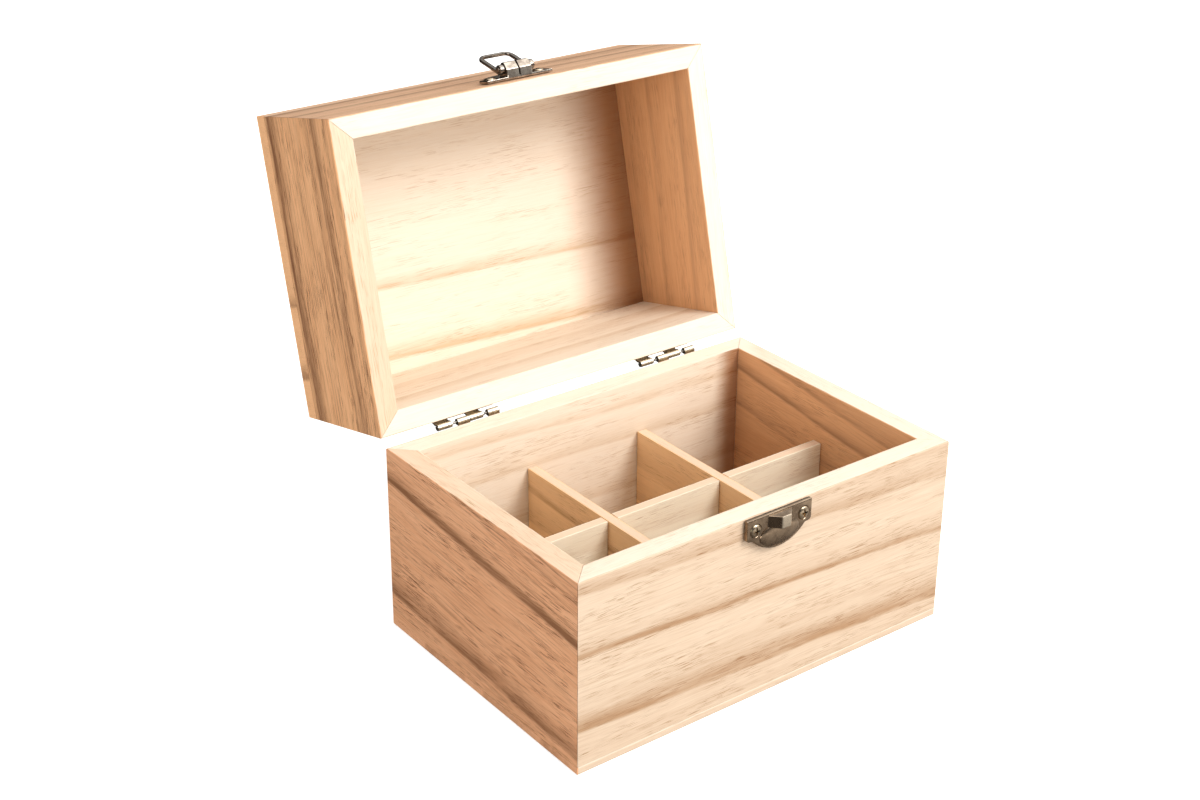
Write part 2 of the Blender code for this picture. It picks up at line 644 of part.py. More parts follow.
for side, sx in (("left", -1), ("right", 1)):
    x, z = HASP_X + sx * CLASP_SCREW_X, hasp_loc[2] + HASP_SCREW_Z
    obj("hasp_screw_" + side, CLASP_SCREW, SCREW_METAL, parent=lid_axis,
        loc=on_lid(x, HASP_Y - HASP / 2, z), rot=FACE_FRONT)
    pilot("cut_hasp_pilot_" + side, lid_front, 1.6 * MM, 7.4 * MM, x, z, True,
          lid_axis, on_lid)

LUGS_HALF = LUG_W + LUG_SPLIT / 2
RING_HALF = LUGS_HALF + EYE_PLAY + EYE_W
hasp_pin = obj("hasp_pin", smooth(rod_mesh("hasp_pin", RING_PIN_R, RING_PIN_R,
               -RING_HALF - 0.35 * MM, RING_HALF + 0.35 * MM, 20, 'X')), BRONZE,
               parent=lid_axis, loc=on_lid(HASP_X, PIVOT_Y, PIVOT_Z))
bevel(hasp_pin, 0.2 * MM, 2, 'ANGLE', 60.0)

# the ring, drawn hanging shut under its pivot, then thrown back about it
ring_axis = bpy.data.objects.new("ring_axis", None)
PARTS.objects.link(ring_axis)
ring_axis.parent = lid_axis
ring_axis.location = on_lid(HASP_X, PIVOT_Y, PIVOT_Z)
ring_axis.rotation_euler = (-RING_REST, 0, 0)


def rounded(pts, radii, n=5):
    """A polyline with its corners turned into arcs of the given radii."""
    out = []
    m = len(pts)
    for i, (p, r) in enumerate(zip(pts, radii)):
        p = Vector(p)
        if r <= 0:
            out.append(tuple(p))
            continue
        a = (Vector(pts[i - 1]) - p).normalized()
        b = (Vector(pts[(i + 1) % m]) - p).normalized()
        half = a.angle(b) / 2
        d = r / math.tan(half)
        c = p + (a + b).normalized() * (r / math.sin(half))
        s, e = p + a * d - c, p + b * d - c
        sweep = s.angle(e)
        sign = 1 if s.x * e.y - s.y * e.x > 0 else -1
        for k in range(n + 1):
            t = sign * sweep * k / n
            out.append((c.x + s.x * math.cos(t) - s.y * math.sin(t),
                        c.y + s.x * math.sin(t) + s.y * math.cos(t)))
    return out


inner = RING_HALF - RING_ARM
ring_pts = rounded([(-RING_HALF, 0.0), (-RING_HALF, -RING_OUT), (RING_HALF, -RING_OUT),
                    (RING_HALF, 0.0), (inner, 0.0), (inner, -RING_IN),
                    (-inner, -RING_IN), (-inner, 0.0)],
                   [0, 3.6 * MM, 3.6 * MM, 0, 0, 1.8 * MM, 1.8 * MM, 0])
RING_BACK = EYE_R - RING_T      # the strip's back face in front of the pivot
hasp_ring = obj("hasp_ring", outline_mesh("hasp_ring", ring_pts, RING_T, TO_XZ), RING_METAL,
                parent=ring_axis)
for v in hasp_ring.data.vertices:
    v.co.y -= RING_BACK + RING_T / 2
bevel(hasp_ring, 0.35 * MM, 2, 'ANGLE', 50.0)
for side, sx in (("left", -1), ("right", 1)):
    eye = cutter("join_ring_eye_" + side,
                 rod_mesh("join_ring_eye_" + side, EYE_R, EYE_R, -EYE_W / 2, EYE_W / 2, 24, 'X'),
                 ring_axis, (sx * (RING_HALF - EYE_W / 2), 0, 0))
    bevel(eye, 0.25 * MM, 2, 'ANGLE', 60.0)
    boolean(hasp_ring, eye, 'UNION')
ring_bore = cutter("cut_ring_bore", rod_mesh("cut_ring_bore", RING_BORE_R, RING_BORE_R,
                   -12 * MM, 12 * MM, 20, 'X'), ring_axis)
boolean(hasp_ring, ring_bore)

for o in (catch_plate, hasp_plate, hasp_ring):
    smooth(o.data, 40.0)
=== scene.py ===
import json
import math

import bpy
from mathutils import Matrix, Vector

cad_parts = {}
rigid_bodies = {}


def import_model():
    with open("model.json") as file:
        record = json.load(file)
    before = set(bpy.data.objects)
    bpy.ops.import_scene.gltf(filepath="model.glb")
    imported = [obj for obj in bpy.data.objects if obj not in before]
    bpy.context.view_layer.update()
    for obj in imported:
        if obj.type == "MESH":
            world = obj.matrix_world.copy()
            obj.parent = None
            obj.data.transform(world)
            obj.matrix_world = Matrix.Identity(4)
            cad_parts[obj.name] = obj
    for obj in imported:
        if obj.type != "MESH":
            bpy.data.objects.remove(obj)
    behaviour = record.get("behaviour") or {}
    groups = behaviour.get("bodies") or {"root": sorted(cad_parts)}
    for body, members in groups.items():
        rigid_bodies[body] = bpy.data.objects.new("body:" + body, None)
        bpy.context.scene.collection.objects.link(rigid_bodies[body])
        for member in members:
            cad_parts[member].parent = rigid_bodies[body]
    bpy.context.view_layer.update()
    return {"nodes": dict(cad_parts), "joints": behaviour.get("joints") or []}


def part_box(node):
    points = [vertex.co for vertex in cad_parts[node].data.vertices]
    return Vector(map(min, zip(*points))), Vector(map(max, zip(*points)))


for _o in list(bpy.data.objects):
    bpy.data.objects.remove(_o, do_unlink=True)

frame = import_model()
NODES = frame["nodes"]
JOINTS = {j["name"]: j for j in frame["joints"]}
MM = 1000.0

# ------------------------------------------------------------ places, from the frame
b_lo, b_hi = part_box("box_bottom")
BOX_L, BOX_D = b_hi.x - b_lo.x, b_hi.y - b_lo.y
BOX_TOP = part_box("box_front")[1].z
HINGE = Vector(JOINTS["lid_hinge"]["pos_m"])
OPEN = math.radians(JOINTS["lid_hinge"]["range_deg"][1])
TURN = Matrix.Rotation(-OPEN, 3, 'X')          # lid shut -> lid as it stands
RIM_GAP = 2 * (HINGE.z - BOX_TOP)
LID_RIM = BOX_TOP + RIM_GAP


def lid_point(x, y, z):
    """A point given with the lid shut, where it is with the lid open."""
    return HINGE + TURN @ (Vector((x, y, z)) - HINGE)


def lid_dir(x, y, z):
    return TURN @ Vector((x, y, z))


# -------------------------------------------------------------------- node plumbing
class Tree:
    """A short way to write a material's node tree."""

    def __init__(self, name):
        self.mat = bpy.data.materials.new(name)
        self.mat.use_nodes = True
        self.nt = self.mat.node_tree
        self.nt.nodes.clear()
        self.out = self.nt.nodes.new("ShaderNodeOutputMaterial")
        self.bsdf = self.nt.nodes.new("ShaderNodeBsdfPrincipled")
        self.nt.links.new(self.bsdf.outputs[0], self.out.inputs["Surface"])
        self.coord = self.nt.nodes.new("ShaderNodeTexCoord").outputs["Object"]

    def put(self, value, socket):
        if isinstance(value, bpy.types.NodeSocket):
            self.nt.links.new(value, socket)
        elif isinstance(value, (tuple, list, Vector)) and len(value) == 3 \
                and socket.type == 'RGBA':
            socket.default_value = (*value, 1.0)
        else:
            socket.default_value = value

    def math(self, op, a, b=None, c=None, clamp=False):
        n = self.nt.nodes.new("ShaderNodeMath")
        n.operation = op
        n.use_clamp = clamp
        for i, v in enumerate((a, b, c)):
            if v is not None:
                self.put(v, n.inputs[i])
        return n.outputs[0]

    def vec(self, op, a, b=None, scale=None):
        n = self.nt.nodes.new("ShaderNodeVectorMath")
        n.operation = op
        self.put(a, n.inputs[0])
        if b is not None:
            self.put(b, n.inputs[1])
        if scale is not None:
            self.put(scale, n.inputs["Scale"])
        return n.outputs["Value"] if op in ('DOT_PRODUCT', 'LENGTH', 'DISTANCE') \
            else n.outputs["Vector"]

    def xyz(self, x, y, z):
        n = self.nt.nodes.new("ShaderNodeCombineXYZ")
        for i, v in enumerate((x, y, z)):
            self.put(v, n.inputs[i])
        return n.outputs[0]

    def noise(self, vec, scale=1.0, detail=2.0, rough=0.5, distort=0.0):
        n = self.nt.nodes.new("ShaderNodeTexNoise")
        n.noise_dimensions = '3D'
        self.put(vec, n.inputs["Vector"])
        n.inputs["Scale"].default_value = scale
        n.inputs["Detail"].default_value = detail
        n.inputs["Roughness"].default_value = rough
        n.inputs["Distortion"].default_value = distort
        return n.outputs[0]

    def step(self, x, lo, hi, to_lo=0.0, to_hi=1.0):
        """Smoothstep from lo to hi."""
        n = self.nt.nodes.new("ShaderNodeMapRange")
        n.interpolation_type = 'SMOOTHSTEP'
        n.clamp = True
        self.put(x, n.inputs["Value"])
        self.put(lo, n.inputs["From Min"])
        self.put(hi, n.inputs["From Max"])
        self.put(to_lo, n.inputs["To Min"])
        self.put(to_hi, n.inputs["To Max"])
        return n.outputs["Result"]

    def ramp(self, x, stops, mode='LINEAR'):
        """A one-dimensional profile: stops are (place, value) with places in 0..1."""
        n = self.nt.nodes.new("ShaderNodeValToRGB")
        cr = n.color_ramp
        cr.interpolation = mode
        while len(cr.elements) < len(stops):
            cr.elements.new(0.5)
        for e, (p, v) in zip(cr.elements, stops):
            e.position = max(0.0, min(1.0, p))
            e.color = (v, v, v, 1.0) if not isinstance(v, (tuple, list)) else (*v, 1.0)
        self.put(x, n.inputs[0])
        return n.outputs[0]

    def mix(self, fac, a, b, blend='MIX'):
        n = self.nt.nodes.new("ShaderNodeMix")
        n.data_type = 'RGBA'
        n.blend_type = blend
        n.clamp_factor = True
        self.put(fac, n.inputs["Factor"])
        self.put(a, n.inputs[6])
        self.put(b, n.inputs[7])
        return n.outputs[2]

    def bump(self, height, strength, distance, normal=None):
        n = self.nt.nodes.new("ShaderNodeBump")
        n.inputs["Strength"].default_value = strength
        n.inputs["Distance"].default_value = distance
        self.put(height, n.inputs["Height"])
        if normal is not None:
            self.put(normal, n.inputs["Normal"])
        return n.outputs[0]

    def edges(self, radius, lo, hi):
        """1 on convex and concave edges, 0 on flats."""
        b = self.nt.nodes.new("ShaderNodeBevel")
        b.samples = 6
        b.inputs["Radius"].default_value = radius
        g = self.nt.nodes.new("ShaderNodeNewGeometry")
        d = self.vec('DOT_PRODUCT', b.outputs[0], g.outputs["Normal"])
        return self.step(d, hi, lo)

    def finish(self, colour, rough, metal=0.0, normal=None, spec=0.5):
        self.put(colour, self.bsdf.inputs["Base Color"])
        self.put(rough, self.bsdf.inputs["Roughness"])
        self.put(metal, self.bsdf.inputs["Metallic"])
        self.bsdf.inputs["Specular IOR Level"].default_value = spec
        if normal is not None:
            self.put(normal, self.bsdf.inputs["Normal"])
        return self.mat


# -------------------------------------------------------------------------- wood
# Tones: (light, middle, dark streak, pore).  Scene-linear albedo.
TONES = {
    "front": ((0.755, 0.605, 0.455), (0.665, 0.49, 0.345), (0.45, 0.27, 0.15), (0.36, 0.20, 0.10)),
    "left": ((0.86, 0.47, 0.26), (0.76, 0.375, 0.19), (0.25, 0.105, 0.042), (0.23, 0.095, 0.04)),
    "lid_front": ((0.83, 0.54, 0.342), (0.71, 0.42, 0.248), (0.26, 0.13, 0.07), (0.24, 0.12, 0.06)),
    "lid_left": ((0.95, 0.545, 0.28), (0.84, 0.435, 0.205), (0.22, 0.09, 0.035), (0.21, 0.085, 0.035)),
    "pale": ((0.88, 0.775, 0.65), (0.84, 0.705, 0.56), (0.57, 0.36, 0.18), (0.52, 0.33, 0.18)),
    # inner: painted shade, a darker, more orange copy of the pale wood for the right walls' inside faces turned away
    # from the key
    "inner": ((0.735, 0.405, 0.203), (0.64, 0.32, 0.147), (0.34, 0.17, 0.08), (0.32, 0.17, 0.08)),
    # cross: painted shade, a darker, more orange copy of the divider wood for the cross dividers' faces turned away
    # from the key
    "cross": ((0.96, 0.655, 0.375), (0.92, 0.60, 0.32), (0.42, 0.22, 0.10), (0.40, 0.21, 0.10)),
    "divider": ((0.94, 0.86, 0.7), (0.89, 0.79, 0.61), (0.50, 0.30, 0.15), (0.46, 0.28, 0.15)),
    "rim2": ((0.84, 0.64, 0.475), (0.78, 0.57, 0.405), (0.52, 0.32, 0.16), (0.48, 0.29, 0.15)),
    "rim": ((0.88, 0.79, 0.67), (0.84, 0.725, 0.575), (0.60, 0.40, 0.22), (0.55, 0.36, 0.20)),
}


def wood(name, origin, grain, across, depth, width, thick, tone, profile, inside="pale",
         core="rim", start=None, corner=None, slope=0.0, fan=0.0, lean=0.35, wander=2.2, ragged=0.34,
         lined=0.2, pores=1.0, mottle=0.5, seed=0.0, streak=1.0, core_streak=0.35, pore_len=7.0):
    """Plain-sawn light wood.  origin is a corner of the board; grain, across and depth
    are its three directions.  tone is the stained outer face, inside the face turned
    to the hollow, core the wood between them and start the face where the grain
    begins.  The inner and cross tones are painted shade: darker, more orange copies of
    the pale wood for faces turned away from the key.  corner paints the shadow of the
    right wall on the inside corner at the far end of the board.  profile gives, across
    the board in mm, how dark the growth bands are; slope and fan tilt the bands along
    the board."""
    t = Tree(name)
    rel = t.vec('SUBTRACT', t.coord, Vector(origin))
    rel = t.vec('SCALE', rel, scale=MM)
    u = t.vec('DOT_PRODUCT', rel, Vector(grain))
    v = t.vec('DOT_PRODUCT', rel, Vector(across))
    w = t.vec('DOT_PRODUCT', rel, Vector(depth))
    su, sv, sw = u, t.math('ADD', v, 37.0 * seed), t.math('ADD', w, 11.0 * seed)

    def field(lu, lv, lw, detail=2.0, rough=0.5):
        """Noise with the given grain size, in mm, along, across and through."""
        return t.noise(t.xyz(t.math('DIVIDE', su, lu), t.math('DIVIDE', sv, lv),
                             t.math('DIVIDE', sw, lw)), 1.0, detail, rough)

    # how far below the stained skin a point is, its limit a little uneven
    uneven = t.math('MULTIPLY', t.math('SUBTRACT', field(9, 3, 3, 2.0), 0.5), 0.5)
    below = t.math('ADD', w, uneven)
    under = t.step(below, 0.30, 0.50)
    above = t.step(below, thick - 0.55, thick - 0.35)
    face = [t.mix(above, t.mix(under, a, c), i)
            for a, c, i in zip(TONES[tone], TONES[core], TONES[inside])]
    if start is not None:
        at_start = t.step(t.math('ADD', u, uneven), 0.50, 0.30)
        face = [t.mix(at_start, f, c) for f, c in zip(face, TONES[start])]
    light, middle, dark, pore = face
    inner_core = t.math('MULTIPLY', under, t.math('SUBTRACT', 1.0, above))
    if start is not None:
        inner_core = t.math('MULTIPLY', inner_core, t.math('SUBTRACT', 1.0, at_start))
    strength = t.math('MULTIPLY_ADD', inner_core, core_streak - 1.0, 1.0)

    # where across the growth bands a point is
    tilt = t.math('MULTIPLY_ADD', v, fan, slope)
    s = t.math('SUBTRACT', v, t.math('MULTIPLY', u, tilt))
    s = t.math('MULTIPLY_ADD', w, lean, s)
    s = t.math('MULTIPLY_ADD', t.math('SUBTRACT', field(70, 26, 26, 1.0), 0.5), 2 * wander, s)
    s = t.math('MULTIPLY_ADD', t.math('SUBTRACT', field(14, 1.3, 1.3, 3.0, 0.65), 0.5),
               2 * ragged, s)
    lo, hi = -25.0, width + 25.0
    stops = [((p - lo) / (hi - lo), d) for p, d in profile]
    band = t.ramp(t.math('DIVIDE', t.math('SUBTRACT', s, lo), hi - lo), stops)
    band = t.math('MULTIPLY', band, t.step(field(34, 3.2, 3.2, 2.0, 0.6), 0.25, 0.6, 0.62, 1.1),
                  clamp=True)

    # thin growth lines everywhere, crowding in where the bands are
    lines = t.step(t.noise(t.xyz(t.math('DIVIDE', su, 45.0), t.math('DIVIDE', s, 0.62),
                                 t.math('DIVIDE', sw, 9.0)), 1.0, 2.0, 0.6), 0.47, 0.66)
    patchy = t.step(field(40, 9, 9, 1.0), 0.30, 0.65, 0.35, 1.0)
    lines = t.math('MULTIPLY', lines, t.math('MULTIPLY_ADD', band, 0.7,
                                             t.math('MULTIPLY', patchy, lined)))

    # tone between the bands
    blotch = t.step(field(55, 8, 8, 2.0), 0.3, 0.7)
    fibre = field(13, 0.32, 0.32, 3.0, 0.6)
    grainy = t.step(field(26, 1.0, 1.0, 2.0, 0.55), 0.35, 0.72)
    tone_fac = t.math('MULTIPLY', blotch, 0.38 * mottle)
    tone_fac = t.math('MULTIPLY_ADD', grainy, 0.70 * mottle, tone_fac)
    tone_fac = t.math('MULTIPLY_ADD', t.step(fibre, 0.32, 0.68), 0.42, tone_fac)
    colour = t.mix(tone_fac, light, middle)
    dark_fac = t.math('MAXIMUM', t.math('MULTIPLY', band, streak),
                      t.math('MULTIPLY', lines, 0.8 * streak))
    colour = t.mix(t.math('MULTIPLY', dark_fac, strength, clamp=True), colour, dark)

    # open pores: short dark dashes along the grain, thicker near the bands
    where = t.step(field(30, 5.5, 5.5, 2.0, 0.55), 0.42, 0.66)
    where = t.math('ADD', t.math('MULTIPLY', where, 0.7), t.math('MULTIPLY', band, 0.9),
                   clamp=True)
    dash = t.step(field(pore_len, 0.24, 0.24, 1.0, 0.4), 0.58, 0.66)
    dash2 = t.step(field(pore_len * 1.9, 0.44, 0.44, 2.0, 0.5), 0.60, 0.70)
    pore_fac = t.math('MULTIPLY', t.math('MAXIMUM', dash, t.math('MULTIPLY', dash2, 0.85)), where)
    pore_fac = t.math('MULTIPLY', pore_fac, t.math('MULTIPLY_ADD', inner_core, -0.5, 1.0))
    colour = t.mix(t.math('MULTIPLY', pore_fac, 0.85 * pores, clamp=True), colour, pore)

    if corner is not None:
        # painted shade: the shadow that the right wall casts on the inside corner at the far end of the board,
        # darkened in the colour
        lo_u, hi_u, painted_shade_colour = corner
        painted_shade_mask = t.math('MULTIPLY', t.step(t.math('MULTIPLY_ADD', uneven, 4.0, u), lo_u, hi_u), above)
        colour = t.mix(painted_shade_mask, colour, t.mix(1.0, colour, painted_shade_colour, 'MULTIPLY'))

    rough = t.math('MULTIPLY_ADD', fibre, 0.16, 0.50)
    rough = t.math('MULTIPLY_ADD', pore_fac, 0.15, rough)
    height = t.math('MULTIPLY_ADD', pore_fac, -0.8, t.math('MULTIPLY', fibre, 0.55))
    normal = t.bump(height, 0.28, 0.00018)
    return t.finish(colour, rough, 0.0, normal, 0.32)


def profile(*stops):
    """Completes a band profile with its ends."""
    s = sorted(stops)
    return [(-25.0, s[0][1])] + s


half_l, half_d = BOX_L / 2, BOX_D / 2
X, Y, Z = Vector((1, 0, 0)), Vector((0, 1, 0)), Vector((0, 0, 1))
H_MM, D_MM, L_MM = BOX_TOP * MM, BOX_D * MM, BOX_L * MM
LIDH = 58.0

WOODS = {
    "box_front": dict(
        origin=(-half_l, -half_d, BOX_TOP), grain=X, across=-Z, depth=Y, width=H_MM,
        lined=0.36, pores=1.3, thick=9.0, tone="front", slope=0.047, seed=1.0, lean=0.3,
        profile=profile((-14, 0.1), (-6, 0.3), (-1.5, 0.15), (1, 0.30), (3.6, 0.52), (5.0, 0.55),
                        (5.9, 0.12), (10, 0.03), (20, 0.05), (25, 0.22), (27.3, 0.45),
                        (28.2, 0.92), (29.4, 0.95), (30.4, 0.10), (36, 0.02), (44, 0.05),
                        (47, 0.28), (49, 0.16), (52, 0.34), (54.5, 0.62), (56.2, 0.80),
                        (57.3, 1.0), (58.6, 0.95), (59.8, 0.14), (64, 0.06), (67, 0.24),
                        (69.5, 0.10), (85, 0.12))),
    "box_left": dict(
        origin=(-half_l, half_d, BOX_TOP), grain=-Y, across=-Z, depth=X, width=H_MM,
        core="rim2", lined=0.60, thick=9.0, tone="left", slope=0.129, fan=-0.0009, seed=2.0, lean=0.3, wander=1.6, pores=1.7, mottle=0.9,
        profile=profile((-20, 0.2), (-7.5, 0.2), (-6.6, 0.55), (-5.6, 0.12), (4, 0.12),
                        (8.5, 0.30), (10.6, 0.85), (12.6, 1.0), (13.9, 0.16), (24, 0.10),
                        (38, 0.16), (50, 0.14), (55, 0.34), (58.5, 0.62), (61.5, 0.85),
                        (62.8, 0.20), (70, 0.14))),
    "box_right": dict(
        origin=(half_l, half_d, BOX_TOP), grain=-Y, across=-Z, depth=-X, width=H_MM,
        # inside="inner": painted shade on the inside face
        core="pale", lined=0.35, thick=9.0, inside="inner", tone="front", slope=0.125, seed=3.0, lean=0.2, wander=1.5,
        profile=profile((-20, 0.1), (-9, 0.15), (-3, 0.35), (-1, 0.75), (0.2, 0.1), (4, 0.15),
                        (7.4, 0.5), (9.2, 0.95), (10.4, 0.12), (20, 0.2), (25, 0.55),
                        (26.4, 0.1), (45, 0.2), (60, 0.4), (61.5, 0.05))),
    "box_back": dict(
        origin=(-half_l, half_d, BOX_TOP), grain=X, across=-Z, depth=-Y, width=H_MM,
        # corner: painted shade, the right wall's shadow in the back wall's inside corner
        corner=(152.0, 163.0, (0.46, 0.28, 0.18)), lined=0.16, thick=9.0, tone="front", slope=0.03, seed=4.0, lean=0.2,
        profile=profile((-14, 0.1), (3, 0.12), (7.2, 0.42), (8.4, 0.08), (18, 0.16),
                        (22.6, 0.4), (23.8, 0.06), (38, 0.1), (45, 0.35), (46.5, 0.05),
                        (66, 0.3), (67, 0.05))),
    "box_bottom": dict(
        origin=(-half_l, -half_d, 0), grain=X, across=Y, depth=Z, width=D_MM,
        thick=3.2, start="left", core="front", tone="front", slope=0.02, seed=5.0,
        profile=profile((0, 0.1), (22, 0.5), (23.5, 0.1), (58, 0.35), (60, 0.05),
                        (98, 0.45), (99.5, 0.1))),
    "lid_front": dict(
        origin=lid_point(-half_l, -half_d, LID_RIM), grain=X, across=lid_dir(0, 0, 1),
        depth=lid_dir(0, 1, 0), width=LIDH, lined=0.5, thick=9.0, tone="lid_front", slope=-0.02, seed=6.0, lean=0.3,
        mottle=0.8,
        profile=profile((-10, 0.1), (6, 0.12), (13, 0.3), (15, 0.08), (24, 0.2), (28, 0.55),
                        (30, 0.85), (31.2, 0.15), (40, 0.25), (46, 0.6), (48, 0.9),
                        (49.2, 0.2), (58, 0.15))),
    "lid_back": dict(
        origin=lid_point(-half_l, half_d, LID_RIM), grain=X, across=lid_dir(0, 0, 1),
        depth=lid_dir(0, -1, 0), width=LIDH, lined=0.14, thick=9.0, tone="pale", slope=0.02, seed=7.0, lean=0.3,
        profile=profile((-10, 0.05), (10, 0.1), (18, 0.4), (19, 0.05), (36, 0.3), (37.5, 0.05))),
    "lid_left": dict(
        origin=lid_point(-half_l, -half_d, LID_RIM), grain=lid_dir(0, 1, 0),
        across=lid_dir(0, 0, 1), depth=X, width=LIDH, core="rim2", lined=0.74, thick=9.0, tone="lid_left", slope=-0.012, seed=8.0,
        lean=0.35, mottle=0.9, wander=1.6, pores=2.0,
        profile=profile((-10, 0.1), (1, 0.12), (4, 0.34), (5.6, 0.12), (9, 0.25), (12.5, 0.62),
                        (14.0, 0.70), (15.2, 0.22), (19, 0.40), (20.4, 0.16), (30, 0.20),
                        (38, 0.10), (43, 0.30), (47.4, 0.72), (49.4, 0.95), (50.6, 0.30),
                        (54, 0.25), (58, 0.2))),
    "lid_right": dict(
        origin=lid_point(half_l, -half_d, LID_RIM), grain=lid_dir(0, 1, 0),
        # inside="inner": painted shade on the inside face
        across=lid_dir(0, 0, 1), depth=-X, width=LIDH, lined=0.28, thick=9.0, inside="inner", tone="lid_left", slope=0.05, seed=9.0,
        lean=0.3,
        profile=profile((-10, 0.1), (6, 0.2), (11, 0.5), (12.5, 0.12), (26, 0.15), (31, 0.4),
                        (32.5, 0.08), (46, 0.3), (47.5, 0.1))),
    "lid_top": dict(
        origin=lid_point(-half_l, -half_d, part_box("lid_top")[0].z * 0 + LID_RIM + 0.058),
        grain=X, across=lid_dir(0, 1, 0), depth=lid_dir(0, 0, -1), width=D_MM,
        # corner: painted shade, the lid's right wall's shadow on the lid panel beside it
        corner=(126.0, 162.0, (0.37, 0.20, 0.105)), lined=0.14, thick=6.5, start="lid_left", core="lid_front", core_streak=0.8, tone="pale", slope=0.045, seed=10.0, lean=0.1, wander=1.2, pores=0.75,
        profile=profile((-10, 0.05), (20, 0.06), (60, 0.05), (70, 0.10), (73.5, 0.38),
                        (75.3, 0.60), (76.6, 0.05), (90, 0.04), (98, 0.10), (102, 0.45),
                        (104.5, 0.70), (105.8, 0.06), (121, 0.04))),
    "long_divider": dict(
        origin=(-half_l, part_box("long_divider")[0].y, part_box("long_divider")[1].z), grain=X, across=-Z, depth=Y, width=54.0,
        core="rim2", thick=4.2, inside="divider", tone="divider", slope=0.02, seed=11.0, lean=0.4,
        profile=profile((0, 0.05), (9, 0.22), (10, 0.03), (24, 0.2), (25.2, 0.03), (40, 0.15))),
    "cross_divider_left": dict(
        origin=(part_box("cross_divider_left")[0].x, half_d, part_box("cross_divider_left")[1].z), grain=-Y, across=-Z, depth=X,
        # tone and inside "cross": painted shade on both faces
        width=54.0, core="rim2", thick=4.2, inside="cross", tone="cross", slope=0.06, seed=12.0, lean=0.4,
        profile=profile((0, 0.08), (5, 0.15), (8.4, 0.75), (9.6, 0.06), (22, 0.3), (23, 0.05),
                        (40, 0.2))),
    "cross_divider_right": dict(
        origin=(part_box("cross_divider_right")[0].x, half_d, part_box("cross_divider_right")[1].z), grain=-Y, across=-Z, depth=X,
        # tone and inside "cross": painted shade on both faces
        width=54.0, core="rim2", thick=4.2, inside="cross", tone="cross", slope=0.10, seed=13.0, lean=0.4,
        profile=profile((0, 0.05), (14, 0.3), (15.4, 0.05), (30, 0.35), (31.4, 0.05))),
}

for node, spec in WOODS.items():
    mat = wood("wood_" + node, **spec)
    o = NODES[node]
    for sl in o.material_slots:
        sl.link = 'OBJECT'
        sl.material = mat


# ------------------------------------------------------------------------- metals
def plated(name, dark, light, wear_and_sheen_colour, rough_lo, rough_hi, patina=0.5, wear=0.00025,
           grain_mm=1.6, painted_sheen_y=None):
    """Tarnished plated metal: dark and light patina in soft blotches, worn bright edges, and, when a plane across Y is
    given, a painted highlight on the faces in front of it.
    """
    t = Tree(name)
    p = t.vec('SCALE', t.coord, scale=MM)
    blot = t.step(t.noise(p, 1.0 / (grain_mm * 2.2), 4.0, 0.6), 0.34, 0.68)
    fine = t.noise(p, 1.0 / (grain_mm * 0.32), 3.0, 0.6)
    fac = t.math('MULTIPLY_ADD', blot, patina, t.math('MULTIPLY', fine, 0.28), clamp=True)
    colour = t.mix(fac, dark, light)
    wear_and_sheen = t.edges(wear, 0.72, 0.985)
    wear_and_sheen = t.math('MULTIPLY', wear_and_sheen, t.step(t.noise(p, 0.55, 3.0, 0.6), 0.32, 0.62, 0.25, 1.0))
    if painted_sheen_y:
        # painted highlight: bright in front of a plane across the piece's own Y, standing in for the knob front's
        # reflection of the bright front, laid over the worn edges
        painted_sheen_mask = t.step(t.vec('DOT_PRODUCT', t.coord, Vector((0.0, 1.0, 0.0))),
                       painted_sheen_y + 0.0001, painted_sheen_y + 0.0005, 1.0, 0.0)
        painted_sheen_mask = t.math('MULTIPLY', painted_sheen_mask, t.step(fine, 0.30, 0.55, 0.65, 1.0))
        wear_and_sheen = t.math('MAXIMUM', wear_and_sheen, painted_sheen_mask)
    colour = t.mix(t.math('MULTIPLY', wear_and_sheen, 0.75), colour, wear_and_sheen_colour)
    rough = t.math('MULTIPLY_ADD', fine, rough_hi - rough_lo, rough_lo)
    rough = t.math('MULTIPLY_ADD', blot, -0.08, rough)
    rough = t.math('MULTIPLY_ADD', wear_and_sheen, -0.1, rough, clamp=True)
    height = t.math('MULTIPLY_ADD', blot, 0.4, t.math('MULTIPLY', fine, 0.6))
    normal = t.bump(height, 0.18, 0.00006)
    return t.finish(colour, rough, 1.0, normal)


KNOB_FRONT = min(v.co.y for v in NODES["catch_plate"].data.vertices)
# painted highlight on the knob's front face, through KNOB_FRONT
CATCH = plated("antique_bronze_wear_and_sheen", (0.20, 0.14, 0.095), (0.46, 0.345, 0.24),
               (0.84, 0.73, 0.58), 0.20, 0.36, painted_sheen_y=KNOB_FRONT)
PEWTER = plated("bronze_knuckles", (0.20, 0.16, 0.13), (0.50, 0.44, 0.37), (0.85, 0.78, 0.66),
                0.18, 0.34)
RING = plated("ring_bronze", (0.17, 0.145, 0.125), (0.42, 0.37, 0.32), (0.78, 0.72, 0.62),
              0.20, 0.36)
HINGE_BRASS = plated("hinge_plate", (0.52, 0.46, 0.36), (0.80, 0.73, 0.60), (0.92, 0.88, 0.76),
                     0.22, 0.38)
PIN = plated("hinge_pin_steel", (0.10, 0.09, 0.08), (0.28, 0.26, 0.23), (0.5, 0.48, 0.44),
             0.3, 0.5)
SCREW = plated("screw_brass", (0.30, 0.23, 0.155), (0.72, 0.58, 0.42), (0.90, 0.78, 0.58),
               0.24, 0.42, patina=0.6, wear=0.0003)

